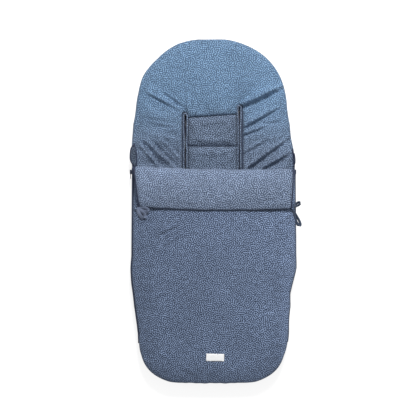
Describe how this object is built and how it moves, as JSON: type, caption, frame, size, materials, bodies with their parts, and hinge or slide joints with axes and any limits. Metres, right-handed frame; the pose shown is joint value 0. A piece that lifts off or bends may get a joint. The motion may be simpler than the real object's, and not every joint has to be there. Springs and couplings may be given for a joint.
{
  "type": "stroller footmuff",
  "caption": "Padded printed-cotton footmuff for a stroller, zipped shut, with quilted head end, harness slots, turned-down collar and side tie bows.",
  "frame": {"origin": "centre of the underside, on the rear fabric, midway between head and foot ends", "axes": "+X the muff's right side seen from above, +Y towards the head end, +Z out of the front cover"},
  "size_m": [0.4684, 0.95, 0.0831],
  "materials": {
    "print": "matte",
    "inner_print": "matte",
    "rear_cloth": "matte",
    "wadding": "matte",
    "zip_tape": "matte",
    "zip_chain": "satin",
    "zip_metal": "satin",
    "label_cloth": "matte"
  },
  "bodies": {
    "back": {"rear_fabric": "rear_cloth", "back_wadding": "wadding", "head_and_wings_panel": "print", "upper_channel": "print", "middle_channel": "print", "lower_channel": "print", "seat_panel": "inner_print", "left_slot_sleeve": "rear_cloth", "right_slot_sleeve": "rear_cloth", "crotch_slot_sleeve": "rear_cloth", "left_slot_welt": "print", "right_slot_welt": "print", "crotch_slot_welt": "print", "toe_fabric": "print", "toe_wadding": "wadding", "toe_lining": "inner_print", "label": "label_cloth", "toe_band": "print", "left_back_tape": "zip_tape", "right_back_tape": "zip_tape", "left_back_chain": "zip_chain", "right_back_chain": "zip_chain", "left_zip_stop": "zip_metal", "right_zip_stop": "zip_metal", "left_ear": "zip_tape", "right_ear": "zip_tape"},
    "cover": {"cover_fabric": "print", "cover_wadding": "wadding", "cover_lining": "inner_print", "left_cover_tape": "zip_tape", "right_cover_tape": "zip_tape", "left_cover_chain": "zip_chain", "right_cover_chain": "zip_chain", "left_bow_knot": "print", "left_bow_inner_loop": "print", "left_bow_lower_loop": "print", "right_bow_knot": "print", "right_bow_upper_loop": "print", "right_bow_lower_loop": "print"},
    "collar": {"collar_fabric": "inner_print", "collar_wadding": "wadding", "collar_lining": "print"},
    "left_slider": {"left_slider": "zip_metal", "left_pull_pin": "zip_metal"},
    "right_slider": {"right_slider": "zip_metal", "right_pull_pin": "zip_metal"},
    "left_pull": {"left_pull": "zip_metal"},
    "right_pull": {"right_pull": "zip_metal"}
  },
  "joints": [
    {"name": "cover_hinge", "type": "hinge", "parent": "back", "child": "cover", "pos_m": [0, -0.365, 0.0666], "axis": [1, 0, 0], "range_deg": [0, 165]},
    {"name": "collar_fold", "type": "hinge", "parent": "cover", "child": "collar", "pos_m": [0, 0.1175, 0.0671], "axis": [-1, 0, 0], "range_deg": [0, 175]},
    {"name": "left_zip_slide", "type": "slide", "parent": "back", "child": "left_slider", "axis": [0, -1, 0], "range_m": [0, 0.237]},
    {"name": "left_pull_swing", "type": "hinge", "parent": "left_slider", "child": "left_pull", "pos_m": [-0.229, 0.107, 0.03115], "axis": [0, 0, -1], "range_deg": [0, 170]},
    {"name": "right_zip_slide", "type": "slide", "parent": "back", "child": "right_slider", "axis": [0, -1, 0], "range_m": [0, 0.237]},
    {"name": "right_pull_swing", "type": "hinge", "parent": "right_slider", "child": "right_pull", "pos_m": [0.229, 0.107, 0.03115], "axis": [0, 0, 1], "range_deg": [0, 170]}
  ]
}
